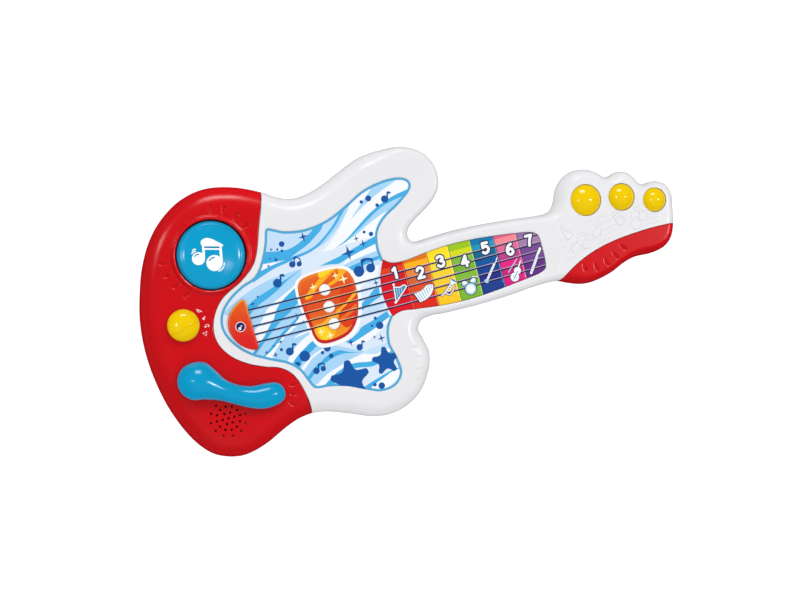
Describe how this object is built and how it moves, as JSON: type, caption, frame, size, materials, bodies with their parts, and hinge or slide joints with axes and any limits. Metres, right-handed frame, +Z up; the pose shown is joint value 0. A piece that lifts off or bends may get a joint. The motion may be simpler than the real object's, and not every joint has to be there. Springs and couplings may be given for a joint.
{
  "type": "toy electric guitar",
  "caption": "Hollow plastic toy guitar with a big push button, a sprung lever, a selector knob, coloured neck keys and domed head buttons.",
  "frame": {"origin": "under the middle of the whole guitar, on the surface that its back lies on", "axes": "+Z up through the front face, +X along the neck towards the head, +Y towards the upper horn"},
  "size_m": [0.52, 0.2435, 0.0515],
  "materials": {
    "white_plastic": "satin moulded plastic",
    "red_plastic": "glossy moulded plastic",
    "blue_plastic": "glossy moulded plastic",
    "yellow_plastic": "glossy moulded plastic",
    "label_print": "glossy printed film, pale and mid blue stripes",
    "orange_print": "glossy plate printed from orange to red",
    "light_diffuser": "milky translucent plastic",
    "led_lens": "clear lens",
    "circuit_board": "solder mask",
    "steel": "zinc plated",
    "dark_plastic": "matte",
    "silicone": "matte silicone rubber",
    "cone_paper": "pressed paper",
    "magnet": "plated",
    "cell_wrap": "printed sleeve on a cell",
    "wire_sleeve": "soft sleeve",
    "ribbon": "flat cable",
    "key_red": "glossy printed key",
    "key_orange": "glossy printed key",
    "key_yellow": "glossy printed key",
    "key_green": "glossy printed key",
    "key_blue": "glossy printed key",
    "key_pink": "glossy printed key",
    "key_violet": "glossy printed key"
  },
  "bodies": {
    "case": {"back_shell": "white_plastic", "front_shell": "white_plastic", "body_cover": "red_plastic", "head_cover": "red_plastic", "body_label": "label_print", "bridge_plate": "orange_print", "pickup_plate": "orange_print", "light_window": "light_diffuser", "led_board": "circuit_board", "led_1": "led_lens", "led_2": "led_lens", "led_3": "led_lens", "big_button_spring": "steel", "drum_switch": "dark_plastic", "lever_spring": "steel", "lever_switch": "dark_plastic", "selector_switch": "dark_plastic", "head_pad": "silicone", "head_board": "circuit_board", "key_pad": "silicone", "neck_board": "circuit_board", "speaker_frame": "steel", "speaker_cone": "cone_paper", "speaker_magnet": "magnet", "main_board": "circuit_board", "sound_chip": "dark_plastic", "battery_tray": "white_plastic", "cell_1": "cell_wrap", "cell_2": "cell_wrap", "cell_3": "cell_wrap", "battery_contacts": "steel", "battery_door": "white_plastic", "battery_door_screw": "steel", "case_screws": "steel", "battery_leads": "wire_sleeve", "speaker_leads": "wire_sleeve", "neck_ribbon": "ribbon"},
    "big_button": {"big_button": "blue_plastic", "big_button_screw": "steel"},
    "lever": {"lever": "blue_plastic", "lever_screw": "steel"},
    "selector_knob": {"selector_knob": "yellow_plastic"},
    "head_button_1": {"head_button_1": "yellow_plastic"},
    "head_button_2": {"head_button_2": "yellow_plastic"},
    "head_button_3": {"head_button_3": "yellow_plastic"},
    "key_1": {"key_1": "key_red"},
    "key_2": {"key_2": "key_orange"},
    "key_3": {"key_3": "key_yellow"},
    "key_4": {"key_4": "key_green"},
    "key_5": {"key_5": "key_blue"},
    "key_6": {"key_6": "key_pink"},
    "key_7": {"key_7": "key_violet"}
  },
  "joints": [
    {"name": "big_button_press", "type": "slide", "parent": "case", "child": "big_button", "axis": [0, 0, -1], "range_m": [0, 0.003], "stiffness_N_per_m": 500, "springref_m": -0.002, "deforming": ["big_button_spring"]},
    {"name": "lever_swing", "type": "hinge", "parent": "case", "child": "lever", "pos_m": [-0.2232, -0.0442, 0.04], "axis": [0, 0, 1], "range_deg": [-12, 12], "stiffness_Nm_per_rad": 0.4},
    {"name": "selector_turn", "type": "hinge", "parent": "case", "child": "selector_knob", "pos_m": [-0.222, 0.0072, 0.04], "axis": [0, 0, 1], "range_deg": [-64, 0]},
    {"name": "head_button_1_press", "type": "slide", "parent": "case", "child": "head_button_1", "axis": [0, 0, -1], "range_m": [0, 0.002], "stiffness_N_per_m": 300, "springref_m": -0.002},
    {"name": "head_button_2_press", "type": "slide", "parent": "case", "child": "head_button_2", "axis": [0, 0, -1], "range_m": [0, 0.002], "stiffness_N_per_m": 300, "springref_m": -0.002},
    {"name": "head_button_3_press", "type": "slide", "parent": "case", "child": "head_button_3", "axis": [0, 0, -1], "range_m": [0, 0.002], "stiffness_N_per_m": 300, "springref_m": -0.002},
    {"name": "key_1_press", "type": "slide", "parent": "case", "child": "key_1", "axis": [0, 0, -1], "range_m": [0, 0.001], "stiffness_N_per_m": 400, "springref_m": -0.0015},
    {"name": "key_2_press", "type": "slide", "parent": "case", "child": "key_2", "axis": [0, 0, -1], "range_m": [0, 0.001], "stiffness_N_per_m": 400, "springref_m": -0.0015},
    {"name": "key_3_press", "type": "slide", "parent": "case", "child": "key_3", "axis": [0, 0, -1], "range_m": [0, 0.001], "stiffness_N_per_m": 400, "springref_m": -0.0015},
    {"name": "key_4_press", "type": "slide", "parent": "case", "child": "key_4", "axis": [0, 0, -1], "range_m": [0, 0.001], "stiffness_N_per_m": 400, "springref_m": -0.0015},
    {"name": "key_5_press", "type": "slide", "parent": "case", "child": "key_5", "axis": [0, 0, -1], "range_m": [0, 0.001], "stiffness_N_per_m": 400, "springref_m": -0.0015},
    {"name": "key_6_press", "type": "slide", "parent": "case", "child": "key_6", "axis": [0, 0, -1], "range_m": [0, 0.001], "stiffness_N_per_m": 400, "springref_m": -0.0015},
    {"name": "key_7_press", "type": "slide", "parent": "case", "child": "key_7", "axis": [0, 0, -1], "range_m": [0, 0.001], "stiffness_N_per_m": 400, "springref_m": -0.0015}
  ]
}
